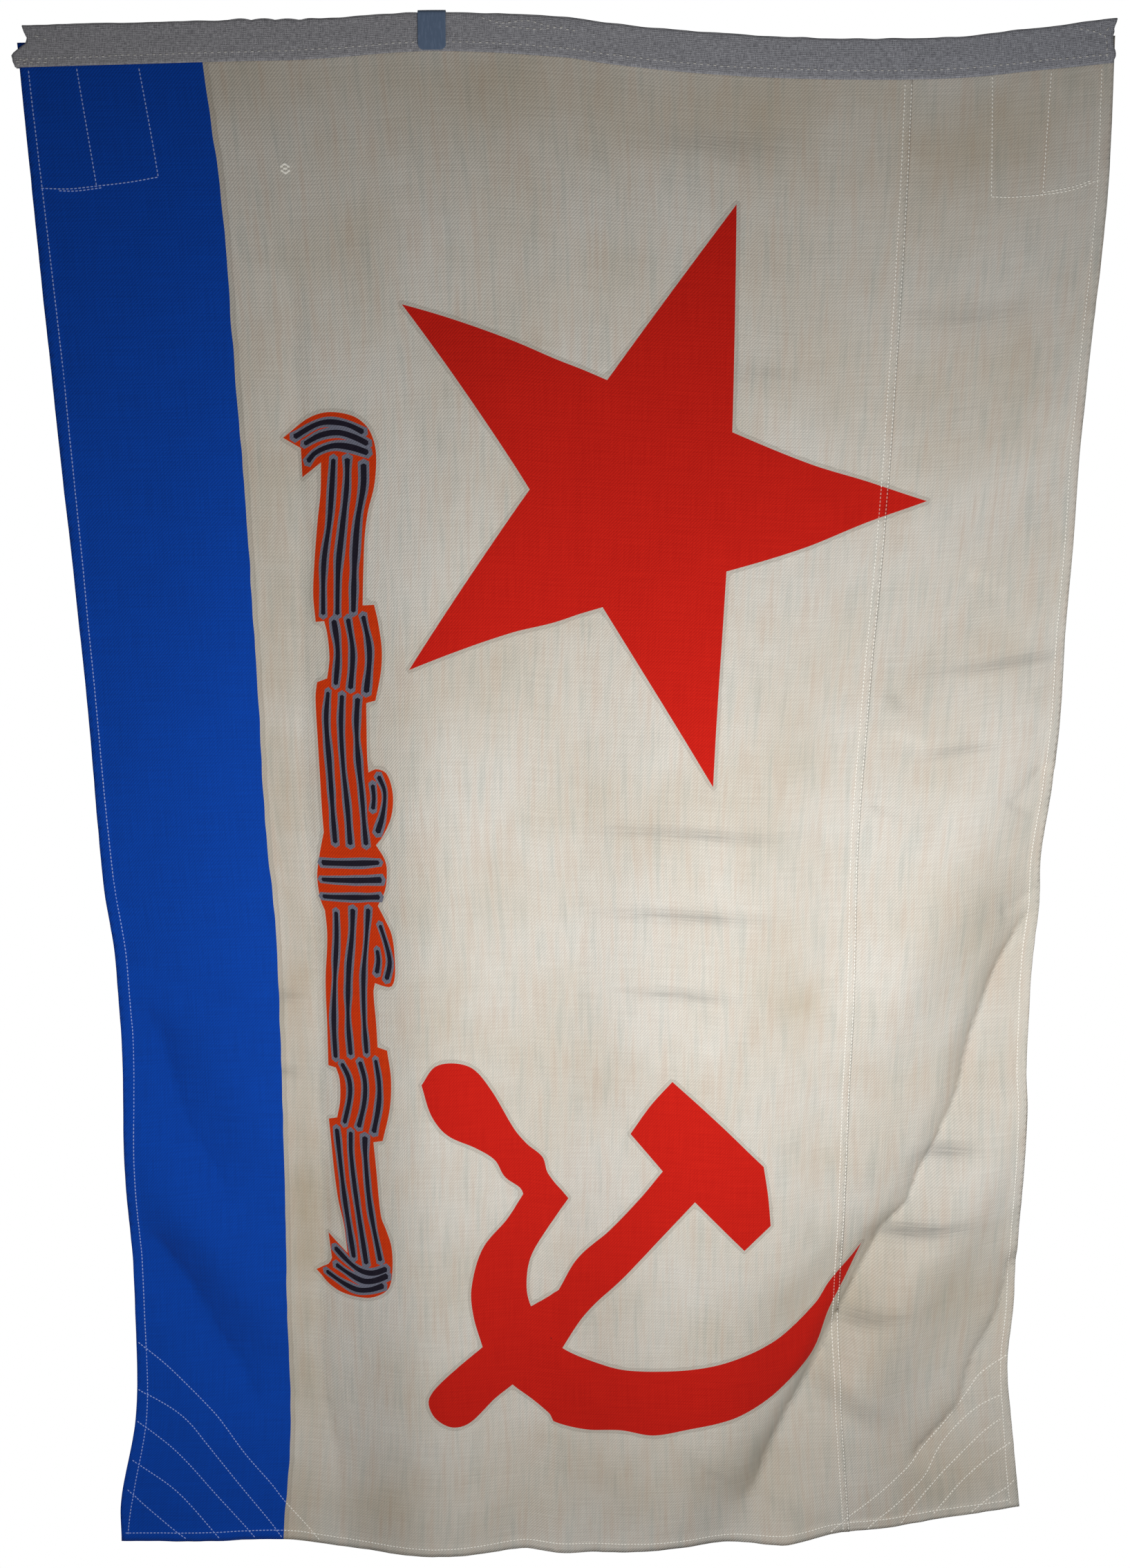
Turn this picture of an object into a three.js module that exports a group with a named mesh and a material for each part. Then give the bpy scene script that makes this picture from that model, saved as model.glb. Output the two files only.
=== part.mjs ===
// A worn naval flag of wool bunting, hung by the canvas heading along its hoist edge.
// Millimetres, +Z up, +X to the right of someone who faces the front, which looks along -Y.
// The origin is the middle of the heading's top edge, where the flag is held up.
import * as THREE from 'three';

// Flat sizes, before hanging: "across" runs along the heading, "down" runs from its top edge to the hem
const HOIST = 1000;
const FLY = 1500;
const BLUE_STRIPE = 170;
const MAIN_WIDTH = 812;
const CLOTH = 1.2;
const GAP = 0.3;

// Where the two cloths lap at the seam, and how far the narrow one lies behind the wide one there
const LAP_HALF = 4;
const LAP_RELEASE = 30;
const LAP_SET_BACK = CLOTH + 2 * GAP;

// The heading, a canvas strip folded over the top edges of both cloths
const CANVAS = 1.2;
const HEADING_DEPTH = 38;
const CLOTH_TOP = 14;
const HEADING_FRONT = -(CLOTH / 2 + GAP + CANVAS / 2);
const HEADING_BACK = CLOTH / 2 + LAP_SET_BACK + GAP + CANVAS / 2;

// The plastic clip over the heading
const CLIP_MIDDLE = 382;
const CLIP_WIDTH = 25;
const CLIP_DEPTH = 31;
const CLIP_WALL = 1.6;
const CLIP_CORNER = 5;
const CLIP_OFFSET = CANVAS / 2 + GAP + CLIP_WALL / 2;

// Reinforcing patches sewn to the back of the four corners
const PATCH = 1.0;
const PATCH_GAP = 2 * GAP;
const UPPER_PATCH_WIDTH = 108;
const UPPER_PATCH_TOP = 44;
const UPPER_PATCH_BOTTOM = 143;
const HEM_INSET = 3;
const LOWER_LEFT_LEG = 215;
const LOWER_RIGHT_LEG = HOIST - MAIN_WIDTH - HEM_INSET;
const LOWER_PATCH_TIP = 14;

// Grid steps of the sheets
const DOWN_STEPS = 38;
const HEADING_STEPS = 36;
const BEND_STEPS = 4;
const FADE = 110;

// A smooth curve through a few [place, value] pairs
const through = (pairs) => {
  const curve = new THREE.CubicInterpolant(pairs.map((p) => p[0]), pairs.map((p) => p[1]), 1);
  return (place) => curve.evaluate(place)[0];
};

// How far right each line of the cloth hangs, as [down, right]: the sides draw in below the heading
const HANGING_LINES = [
  { across: 0, right: through([[0, -491], [140, -483], [303, -473], [606, -453], [798, -444], [884, -435],
    [1080, -434], [1273, -430], [1364, -434], [1455, -452], [FLY, -453]]) },
  { across: BLUE_STRIPE, right: through([[0, -330], [162, -312], [404, -298], [707, -294], [884, -281],
    [1283, -280], [1384, -280], [FLY, -290]]) },
  { across: MAIN_WIDTH, right: through([[0, 309], [167, 306], [434, 296], [722, 279], [869, 277],
    [1242, 274], [1353, 278], [FLY, 289]]) },
  { across: HOIST, right: through([[0, 492], [157, 492], [328, 481], [520, 473], [717, 464], [790, 457],
    [848, 461], [934, 455], [1180, 453], [1273, 454], [1343, 449], [1414, 456], [FLY, 466]]) },
];

// Heights of the top edge and of the hem, as [across, up]: the heading sags between its supports
const topHeight = through([[0, -7], [195, -3], [272, -2], [380, 4], [500, 0], [540, -5], [623, -13],
  [724, -18], [849, -17], [939, -8], [HOIST, -1]]);
const hemHeight = through([[0, -1479], [120, -1480], [BLUE_STRIPE, -1484], [240, -1494], [350, -1487],
  [440, -1486], [486, -1495], [540, -1489], [620, -1483], [735, -1490], [795, -1478], [870, -1477],
  [950, -1462], [HOIST, -1448]]);

// Soft folds: how far each sets the cloth back (or, negative, forward), its half width, the length
// over which it grows, and its line as [down, across] points
const FOLDS = [
  { back: 20, half: 80, grow: 700, line: [[120, 232], [500, 224], [882, 214], [1268, 207], [FLY, 228]] },
  { back: -18, half: 92, grow: 700, line: [[150, 380], [700, 366], [1000, 352], [FLY, 350]] },
  { back: 9, half: 60, grow: 800, line: [[180, 499], [690, 515], [940, 500], [1240, 480], [FLY, 484]] },
  { back: -14, half: 95, grow: 800, line: [[150, 660], [1100, 645], [FLY, 620]] },
  { back: 12, half: 55, grow: 110, line: [[340, 1000], [452, 921], [527, 882], [650, 815]] },
  { back: -13, half: 62, grow: 120, line: [[560, 1000], [730, 930], [880, 870], [1010, 815]] },
  { back: 22, half: 58, grow: 110, line: [[770, 1012], [908, 947], [1027, 918], [1158, 860], [1242, 796],
    [1377, 738], [FLY, 680]] },
  { back: 26, half: 110, grow: 220, line: [[1080, 990], [1280, 930], [FLY, 900]] },
  { back: 10, half: 48, grow: 110, line: [[890, 0], [988, 50], [1089, 93], [1200, 140]] },
  { back: -9, half: 48, grow: 110, line: [[1010, 0], [1120, 55], [1225, 105], [1310, 145]] },
  { back: 10, half: 50, grow: 110, line: [[1110, 0], [1223, 70], [1299, 115], [1400, 160]] },
].map((fold) => ({
  ...fold,
  start: fold.line[0][0],
  end: fold.line[fold.line.length - 1][0],
  middle: through(fold.line),
}));

function setBack(across, down) {
  let depth = 0;
  for (const { back, half, grow, start, end, middle } of FOLDS) {
    const fadeOut = end < FLY ? 1 - THREE.MathUtils.smoothstep(down, end - FADE, end) : 1;
    const fade = THREE.MathUtils.smoothstep(down, start, start + grow) * fadeOut;
    depth += back * fade * Math.exp(-(((across - middle(down)) / half) ** 2));
  }
  return depth;
}

// Where a point of the flat cloth hangs
function hang(across, down) {
  const next = Math.max(HANGING_LINES.findIndex((line) => across <= line.across), 1);
  const last = across > HOIST ? HANGING_LINES.length - 1 : next;
  const [a, b] = [HANGING_LINES[last - 1], HANGING_LINES[last]];
  const share = (across - a.across) / (b.across - a.across);
  const x = THREE.MathUtils.lerp(a.right(down), b.right(down), share);
  const z = THREE.MathUtils.lerp(topHeight(across), hemHeight(across), down / FLY);
  return new THREE.Vector3(x, setBack(across, down), z);
}

// A thin sheet on a grid: place(i, j, side) gives each corner, with side 1 in front and -1 behind
function sheet(columns, rows, place) {
  const geometry = new THREE.BoxGeometry(columns, rows, 2, columns, rows, 1);
  const { position } = geometry.attributes;
  for (let n = 0; n < position.count; n += 1) {
    const i = Math.round(position.getX(n) + columns / 2);
    const j = Math.round(rows / 2 - position.getY(n));
    const corner = place(i, j, Math.sign(position.getZ(n)));
    position.setXYZ(n, corner.x, corner.y, corner.z);
  }
  geometry.deleteAttribute('normal');
  geometry.deleteAttribute('uv');
  return geometry;
}

const spread = (from, to, steps) => Array.from({ length: steps + 1 }, (_, n) => from + ((to - from) * n) / steps);
const upright = (places) => places.map((across) => () => across);

// A sheet of cloth that hangs on the flag's folds, lying "behind" it by a given distance. Each of its
// grid lines is a function that gives the place across for a place down.
function hangingSheet(acrossLines, downLines, thickness, behind) {
  return sheet(acrossLines.length - 1, downLines.length - 1, (i, j, side) => {
    const down = downLines[j];
    const across = acrossLines[i](down);
    const place = hang(across, down);
    place.y += behind(across) - (side * thickness) / 2;
    return place;
  });
}

// How far the narrow cloth lies behind the wide one, easing out past the lap
function lapSetBack(across) {
  const release = MAIN_WIDTH + LAP_HALF;
  return LAP_SET_BACK * (1 - THREE.MathUtils.smoothstep(across, release, release + LAP_RELEASE));
}

const DOWN_LINES = spread(CLOTH_TOP, FLY, DOWN_STEPS);
const LAP_LINES = [MAIN_WIDTH - LAP_HALF, MAIN_WIDTH + LAP_HALF];

function mainCloth() {
  const acrossLines = [...spread(0, LAP_LINES[0], 25), LAP_LINES[1]];
  return hangingSheet(upright(acrossLines), DOWN_LINES, CLOTH, () => 0);
}

function sideCloth() {
  const release = LAP_LINES[1] + LAP_RELEASE;
  const acrossLines = [LAP_LINES[0], ...spread(LAP_LINES[1], release, 2), ...spread(release, HOIST, 5).slice(1)];
  return hangingSheet(upright(acrossLines), DOWN_LINES, CLOTH, lapSetBack);
}

// The section of a strip folded over the top: front leg up, half round, back leg down
function foldedOver(front, back, frontDrop, backDrop, side, thickness, step, legSteps) {
  const radius = (back - front) / 2;
  const bend = Math.min(Math.max((step - legSteps) / BEND_STEPS, 0), 1) * Math.PI;
  const centre = (front + back) / 2;
  const out = radius + (side * thickness) / 2;
  const legShare = step < legSteps ? 1 - step / legSteps : (step - legSteps - BEND_STEPS) / legSteps;
  const legDrop = step < legSteps ? frontDrop * legShare : backDrop * Math.max(legShare, 0);
  return { depth: centre - out * Math.cos(bend), rise: out * Math.sin(bend) - legDrop, drop: legDrop };
}

// The heading's raw ends: a frayed notch on the left, a shallow one on the right
const leftEnd = through([[0, 2], [13, 6], [24, -9], [HEADING_DEPTH, -5]]);
const rightEnd = through([[0, 1001], [17, 998], [30, 1001], [HEADING_DEPTH, 999]]);
const headingDrop = through([[0, 39], [190, 36], [395, 33], [560, 34], [770, 34], [900, 36], [HOIST, 39]]);

function heading() {
  const legSteps = 3;
  return sheet(HEADING_STEPS, 2 * legSteps + BEND_STEPS, (i, j, side) => {
    const step = 2 * legSteps + BEND_STEPS - j;
    const share = i / HEADING_STEPS;
    const leg = headingDrop(share * HOIST);
    const section = foldedOver(HEADING_FRONT, HEADING_BACK, leg, leg - 1, side, CANVAS, step, legSteps);
    const across = THREE.MathUtils.lerp(leftEnd(section.drop), rightEnd(section.drop), share);
    const place = hang(across, 0);
    return new THREE.Vector3(place.x, place.y + section.depth, place.z + section.rise);
  });
}

function clip() {
  const legSteps = 6;
  const columns = 6;
  const straight = CLIP_DEPTH - CLIP_CORNER;
  return sheet(columns, 2 * legSteps + BEND_STEPS, (i, j, side) => {
    const step = 2 * legSteps + BEND_STEPS - j;
    const front = HEADING_FRONT - CLIP_OFFSET;
    const back = HEADING_BACK + CLIP_OFFSET;
    const section = foldedOver(front, back, CLIP_DEPTH, CLIP_DEPTH, side, CLIP_WALL, step, legSteps);
    const past = Math.max(section.drop - straight, 0);
    const inset = CLIP_CORNER - Math.sqrt(Math.max(CLIP_CORNER ** 2 - past ** 2, 0));
    const half = CLIP_WIDTH / 2 - inset;
    const place = hang(CLIP_MIDDLE + half * ((2 * i) / columns - 1), 0);
    return new THREE.Vector3(place.x, place.y + section.depth, place.z + section.rise);
  });
}

const BEHIND_CLOTH = CLOTH / 2 + PATCH_GAP + PATCH / 2;

function upperPatch(from) {
  const acrossLines = upright(spread(from, from + UPPER_PATCH_WIDTH, 4));
  return hangingSheet(acrossLines, spread(UPPER_PATCH_TOP, UPPER_PATCH_BOTTOM, 4), PATCH, () => BEHIND_CLOTH);
}

// A triangle in a lower corner: its slanted edge runs from the side edge down to the hem
function lowerPatch(edge, inward, leg, behind) {
  const steps = 7;
  const [top, bottom] = [FLY - HEM_INSET - leg, FLY - HEM_INSET];
  const width = (down) => THREE.MathUtils.mapLinear(down, top, bottom, LOWER_PATCH_TIP, leg);
  const shares = inward > 0 ? spread(0, 1, steps) : spread(1, 0, steps);
  const acrossLines = shares.map((share) => (down) => edge + inward * (HEM_INSET + share * width(down)));
  return hangingSheet(acrossLines, spread(top, bottom, steps), PATCH, behind);
}

const behindSideCloth = (across) => BEHIND_CLOTH + lapSetBack(across);

const bunting = { color: 0xc6beb0, roughness: 0.92, metalness: 0 };
const patchBlue = { color: 0x1d3f93, roughness: 0.92, metalness: 0 };
const canvas = { color: 0x74747c, roughness: 0.95, metalness: 0 };
const bluePlastic = { color: 0x445570, roughness: 0.45, metalness: 0 };

const pieces = [
  ['main_cloth', mainCloth(), bunting],
  ['side_cloth', sideCloth(), bunting],
  ['heading', heading(), canvas],
  ['clip', clip(), bluePlastic],
  ['patch_upper_left', upperPatch(HEM_INSET), patchBlue],
  ['patch_upper_right', upperPatch(HOIST - HEM_INSET - UPPER_PATCH_WIDTH), bunting],
  ['patch_lower_left', lowerPatch(0, 1, LOWER_LEFT_LEG, () => BEHIND_CLOTH), patchBlue],
  ['patch_lower_right', lowerPatch(HOIST, -1, LOWER_RIGHT_LEG, behindSideCloth), bunting],
];

const flag = new THREE.Group();
for (const [name, geometry, look] of pieces) {
  const mesh = new THREE.Mesh(geometry, new THREE.MeshStandardMaterial(look));
  mesh.name = name;
  flag.add(mesh);
}

export default flag;
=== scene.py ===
import math

import bpy
import numpy as np
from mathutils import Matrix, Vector, geometry, kdtree, noise


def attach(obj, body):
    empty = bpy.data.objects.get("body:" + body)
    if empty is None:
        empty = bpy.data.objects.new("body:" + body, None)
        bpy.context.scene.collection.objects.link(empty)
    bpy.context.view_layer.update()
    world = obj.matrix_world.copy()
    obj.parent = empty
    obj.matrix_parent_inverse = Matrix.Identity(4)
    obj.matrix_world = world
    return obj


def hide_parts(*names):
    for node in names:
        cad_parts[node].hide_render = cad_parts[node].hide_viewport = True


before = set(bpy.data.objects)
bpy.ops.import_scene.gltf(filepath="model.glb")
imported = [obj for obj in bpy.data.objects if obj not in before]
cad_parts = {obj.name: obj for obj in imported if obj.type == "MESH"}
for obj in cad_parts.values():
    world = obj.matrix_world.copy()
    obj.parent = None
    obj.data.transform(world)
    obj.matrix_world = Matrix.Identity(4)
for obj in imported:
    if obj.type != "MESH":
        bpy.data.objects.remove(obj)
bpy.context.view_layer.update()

# How the flag hangs: the two cloths are sewn into one sheet, held up along the heading. The free sides
# draw in below it, and soft folds run down and slantwise from where the weight pulls.
MM = 0.001
HOIST = 1000
FLY = 1500
BLUE_STRIPE = 170
MAIN_WIDTH = 812
LAP_HALF = 4
CLOTH_TOP = 14
HEADING_DEPTH = 38


def smoothstep(low, high, value):
    share = np.clip((value - low) / (high - low), 0, 1)
    return share * share * (3 - 2 * share)


def through(pairs):
    """A smooth curve through (place, value) pairs, as a function of an array of places."""
    places, values = np.array(pairs, float).T
    slopes = np.empty(len(values))
    slopes[1:-1] = (values[2:] - values[:-2]) / (places[2:] - places[:-2])
    slopes[0] = (values[1] - values[0]) / (places[1] - places[0])
    slopes[-1] = (values[-1] - values[-2]) / (places[-1] - places[-2])

    def curve(place):
        place = np.clip(place, places[0], places[-1])
        start = np.clip(np.searchsorted(places, place) - 1, 0, len(places) - 2)
        width = places[start + 1] - places[start]
        u = (place - places[start]) / width
        ends = values[start] * (1 + 2 * u) * (1 - u) ** 2 + values[start + 1] * u * u * (3 - 2 * u)
        return ends + width * (slopes[start] * u * (1 - u) ** 2 + slopes[start + 1] * u * u * (u - 1))

    return curve


# How far right each line of the cloth hangs, as (down, right)
HANGING_ACROSS = np.array([0, BLUE_STRIPE, MAIN_WIDTH, HOIST])
HANGING_LINES = [
    through([(0, -491), (140, -483), (303, -473), (606, -453), (798, -444), (884, -435), (1080, -434),
             (1273, -430), (1364, -434), (1455, -452), (FLY, -453)]),
    through([(0, -330), (162, -312), (404, -298), (707, -294), (884, -281), (1283, -280), (1384, -280),
             (FLY, -290)]),
    through([(0, 309), (167, 306), (434, 296), (722, 279), (869, 277), (1242, 274), (1353, 278),
             (FLY, 289)]),
    through([(0, 492), (157, 492), (328, 481), (520, 473), (717, 464), (790, 457), (848, 461), (934, 455),
             (1180, 453), (1273, 454), (1343, 449), (1414, 456), (FLY, 466)]),
]

# Heights of the top edge and of the hem, as (across, up)
top_height = through([(0, -7), (195, -3), (272, -2), (380, 4), (500, 0), (540, -5), (623, -13), (724, -18),
                      (849, -17), (939, -8), (HOIST, -1)])
hem_height = through([(0, -1479), (120, -1480), (BLUE_STRIPE, -1484), (240, -1494), (350, -1487),
                      (440, -1486), (486, -1495), (540, -1489), (620, -1483), (735, -1490),
                      (795, -1478), (870, -1477), (950, -1462), (HOIST, -1448)])

# Soft folds: how far each sets the cloth back, its half width, the length over which it grows, and its
# line as (down, across)
FOLD_FADE = 110
FOLDS = [
    (20, 80, 700, [(120, 232), (500, 224), (882, 214), (1268, 207), (FLY, 228)]),
    (-18, 92, 700, [(150, 380), (700, 366), (1000, 352), (FLY, 350)]),
    (9, 60, 800, [(180, 499), (690, 515), (940, 500), (1240, 480), (FLY, 484)]),
    (-14, 95, 800, [(150, 660), (1100, 645), (FLY, 620)]),
    (12, 55, 110, [(340, 1000), (452, 921), (527, 882), (650, 815)]),
    (-13, 62, 120, [(560, 1000), (730, 930), (880, 870), (1010, 815)]),
    (22, 58, 110, [(770, 1012), (908, 947), (1027, 918), (1158, 860), (1242, 796), (1377, 738),
                   (FLY, 680)]),
    (26, 110, 220, [(1080, 990), (1280, 930), (FLY, 900)]),
    (10, 48, 110, [(890, 0), (988, 50), (1089, 93), (1200, 140)]),
    (-9, 48, 110, [(1010, 0), (1120, 55), (1225, 105), (1310, 145)]),
    (10, 50, 110, [(1110, 0), (1223, 70), (1299, 115), (1400, 160)]),
]


def set_back(across, down):
    depth = np.zeros(len(across))
    for back, half, grow, line in FOLDS:
        start, end = line[0][0], line[-1][0]
        fade = smoothstep(start, start + grow, down)
        if end < FLY:
            fade = fade * (1 - smoothstep(end - FOLD_FADE, end, down))
        depth += back * fade * np.exp(-((across - through(line)(down)) / half) ** 2)
    return depth


def hang(across, down):
    """Where points of the flat cloth hang on the soft folds, in millimetres."""
    lines = np.array([line(down) for line in HANGING_LINES])
    left = np.clip(np.searchsorted(HANGING_ACROSS, across) - 1, 0, len(HANGING_ACROSS) - 2)
    share = (across - HANGING_ACROSS[left]) / (HANGING_ACROSS[left + 1] - HANGING_ACROSS[left])
    each = np.arange(len(across))
    x = lines[left, each] * (1 - share) + lines[left + 1, each] * share
    z = top_height(across) * (1 - down / FLY) + hem_height(across) * down / FLY
    return np.stack([x, set_back(across, down), z], axis=1)


# Creases from folding and handling: how far each sets the cloth back, how wide its left and right flanks
# are, seen along its line, and the line as (across, down)
RIGHT_FOLD = [(999, 828), (985, 862), (966, 904), (945, 970), (934, 1024), (914, 1074), (896, 1108),
              (884, 1142), (860, 1166), (796, 1298), (734, 1390), (711, 1438), (682, 1459)]
CREASES = [
    (2.2, 9, 9, [(499, 179), (501, 309), (498, 457), (511, 565), (517, 691), (519, 734), (507, 827),
                 (512, 891), (496, 940), (498, 1014), (480, 1239), (475, 1357), (474, 1427), (482, 1500)]),
    (5.0, 16, 30, [(232, 131), (214, 884), (212, 1059), (215, 1148), (207, 1274), (209, 1335), (223, 1393),
                   (228, 1475)]),
    (3.0, 8, 16, [(768, 704), (785, 766), (784, 798), (788, 905)]),
    (1.6, 7, 7, [(809, 828), (795, 878)]),
    (1.2, 8, 8, [(784, 333), (781, 394), (780, 445)]),
    (1.4, 9, 9, [(720, 464), (698, 537), (674, 572)]),
    (4.0, 30, 10, [(913, 492), (892, 519), (869, 562), (833, 619)]),
    (3.6, 26, 9, [(856, 647), (827, 723)]),
    (3.0, 22, 9, [(990, 694), (960, 733)]),
    (3.0, 10, 10, [(997, 822), (978, 838), (960, 842)]),
    (13.0, 55, 7, RIGHT_FOLD),
    (1.8, 6, 14, [(788, 1014), (784, 1060), (786, 1120), (780, 1190)]),
    (8.0, 34, 8, [(998, 1206), (984, 1284), (964, 1328), (949, 1378), (928, 1398), (884, 1434)]),
    (5.0, 12, 34, [(17, 923), (41, 949), (51, 996), (65, 1048), (94, 1097), (114, 1143)]),
    (5.0, 12, 34, [(16, 1156), (38, 1183), (70, 1231), (87, 1267), (115, 1312), (138, 1360)]),
]
CREASE_TAPER = 0.1

# Soft rolls beside the two folds at the lower right, written like the creases
ROLLS = [
    (-9.0, 20, 40, [(across - 28, down - 6) for across, down in RIGHT_FOLD]),
    (-12.0, 50, 45, [(985, 1010), (950, 1110), (915, 1190), (868, 1280), (810, 1370)]),
]


def along(across, down, line):
    """The distance from points to a line, above 0 on its left as one goes along it down the cloth, and the
    share of its length at the nearest place."""
    ends = np.array(line, float)
    lengths = np.linalg.norm(np.diff(ends, axis=0), axis=1)
    starts = np.concatenate([[0], np.cumsum(lengths)])
    points = np.stack([across, down], axis=1)
    nearest = np.full(len(points), np.inf)
    share = np.zeros(len(points))
    for n, length in enumerate(lengths):
        direction = (ends[n + 1] - ends[n]) / length
        reach = np.clip((points - ends[n]) @ direction, 0, length)
        distance = np.linalg.norm(points - ends[n] - reach[:, None] * direction, axis=1)
        closer = distance < np.abs(nearest)
        away = points - ends[n]
        left = direction[0] * away[:, 1] - direction[1] * away[:, 0] < 0
        nearest[closer] = np.where(left, distance, -distance)[closer]
        share[closer] = (starts[n] + reach[closer]) / starts[-1]
    return nearest, share


# Crumpling all over, less near the tight heading, and puckers where hems and seam are drawn up
# by their stitches, as (depth, size of a bump, noise layer)
CRUMPLE = (1.6, 75, 1.5)
FINE_CRUMPLE = (0.4, 26, 7.5)
PUCKER = (0.9, 13, 3.5)
PUCKER_REACH = 12
SEAM_PUCKER_SHARE = 0.6
TIGHT_SHARE = 0.35
TIGHT_DOWN = 40
LOOSE_DOWN = 500


def rough(across, down, form):
    """Smooth noise over the flat cloth, of a depth, a bump size in millimetres and a noise layer."""
    depth, size, layer = form
    return depth * np.array([noise.noise(Vector((a / size, d / size, layer))) for a, d in zip(across, down)])


def edge_distance(across, down):
    """How far points of the flat cloth lie from its hems."""
    return np.minimum(np.minimum(across, HOIST - across), FLY - down)


def cloth_place(across, down):
    """Where points of the flat cloth hang, with its creases, crumpling and puckers, in metres."""
    places = hang(across, down)
    for back, left_flank, right_flank, line in CREASES + ROLLS:
        distance, share = along(across, down, line)
        taper = smoothstep(0, CREASE_TAPER, share) * (1 - smoothstep(1 - CREASE_TAPER, 1, share))
        flank = np.where(distance > 0, left_flank, right_flank)
        away = np.abs(distance) / flank
        places[:, 1] += back * taper * np.exp(-away if back > 0 else -away ** 2)
    drawn = np.exp(-edge_distance(across, down) / PUCKER_REACH)
    drawn += SEAM_PUCKER_SHARE * np.exp(-np.abs(across - MAIN_WIDTH) / PUCKER_REACH)
    loose = TIGHT_SHARE + (1 - TIGHT_SHARE) * smoothstep(TIGHT_DOWN, LOOSE_DOWN, down)
    uneven = loose * rough(across, down, CRUMPLE) + rough(across, down, FINE_CRUMPLE)
    uneven += drawn * rough(across, down, PUCKER)
    places[:, 1] += uneven * smoothstep(HEADING_DEPTH - 4, HEADING_DEPTH + 40, down)
    return places * MM


# The wide cloth: one loom width of worsted wool bunting, with a blue stripe dyed down one side and the
# red and orange figures printed right through it. Its free edges are turned under and stitched, and
# folding and handling have left it creased, stained, and grey round the prints. Shade is painted in
# brown along its top, along its hem and over the folds at the lower right.
CLOTH_HALF = 0.3
HEM_WIDTH = 11
HEM_HALF = 0.75
OUTLINE_STEP = 4
MAIN_STEP = 6.2
NATURAL, BLUE, RED, ORANGE, GREY, BLACK = range(6)


def smooth_run(points, step=OUTLINE_STEP):
    """A smooth line through a few points, with a point about every step millimetres."""
    points = np.array(points, float)
    chords = np.concatenate([[0], np.cumsum(np.linalg.norm(np.diff(points, axis=0), axis=1))])
    count = max(round(chords[-1] / step), 1)
    places = np.linspace(0, chords[-1], count + 1)
    if len(points) == 2:
        return points[0] + (points[1] - points[0]) * (places / chords[-1])[:, None]
    return np.stack([through(np.stack([chords, points[:, k]], axis=1))(places) for k in (0, 1)], axis=1)


def closed_outline(runs):
    """Smooth runs joined end to end: each starts where the one before it ends, with a corner there."""
    return np.concatenate([smooth_run([runs[n - 1][-1]] + run)[:-1] for n, run in enumerate(runs)])


# The star points along the heading, away from the blue stripe
STAR_MIDDLE = (567, 421)
STAR_RADIUS = 287
STAR_INNER = 111
star_corners = []
for n in range(10):
    reach = STAR_INNER if n % 2 else STAR_RADIUS
    turn = n * math.pi / 5
    star_corners.append((STAR_MIDDLE[0] + reach * math.cos(turn), STAR_MIDDLE[1] + reach * math.sin(turn)))

SICKLE = [
    [(347, 979), (368, 976), (390, 983), (410, 1006), (436, 1048), (450, 1063), (468, 1075),
     (474, 1091), (498, 1117)],
    [(472, 1152), (454, 1184), (450, 1216), (456, 1237), (475, 1264), (508, 1284), (553, 1298),
     (599, 1301), (643, 1297), (692, 1285), (748, 1265), (786, 1241), (802, 1219), (823, 1196),
     (837, 1178)],
    [(819, 1221), (803, 1252), (784, 1296), (742, 1326), (691, 1349), (634, 1363), (594, 1370),
     (557, 1365), (521, 1365), (478, 1356)],
    [(473, 1348), (432, 1319), (399, 1275)],
    [(389, 1241), (387, 1211), (400, 1170), (428, 1141), (446, 1116)],
    [(443, 1110), (425, 1097), (414, 1079), (393, 1065), (360, 1049), (343, 1029), (332, 997)],
]
HAMMER = [
    [(508, 1181), (545, 1151), (580, 1116), (605, 1087)],
    [(568, 1049)],
    [(590, 1019), (614, 993)],
    [(673, 1038), (720, 1077)],
    [(726, 1108), (730, 1140)],
    [(700, 1166)],
    [(642, 1117)],
    [(599, 1163), (563, 1199), (517, 1241), (488, 1280)],
    [(432, 1319), (411, 1332), (381, 1355), (361, 1358), (342, 1347), (335, 1330), (343, 1316),
     (369, 1295), (399, 1275)],
    [(440, 1245), (487, 1214)],
]

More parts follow.
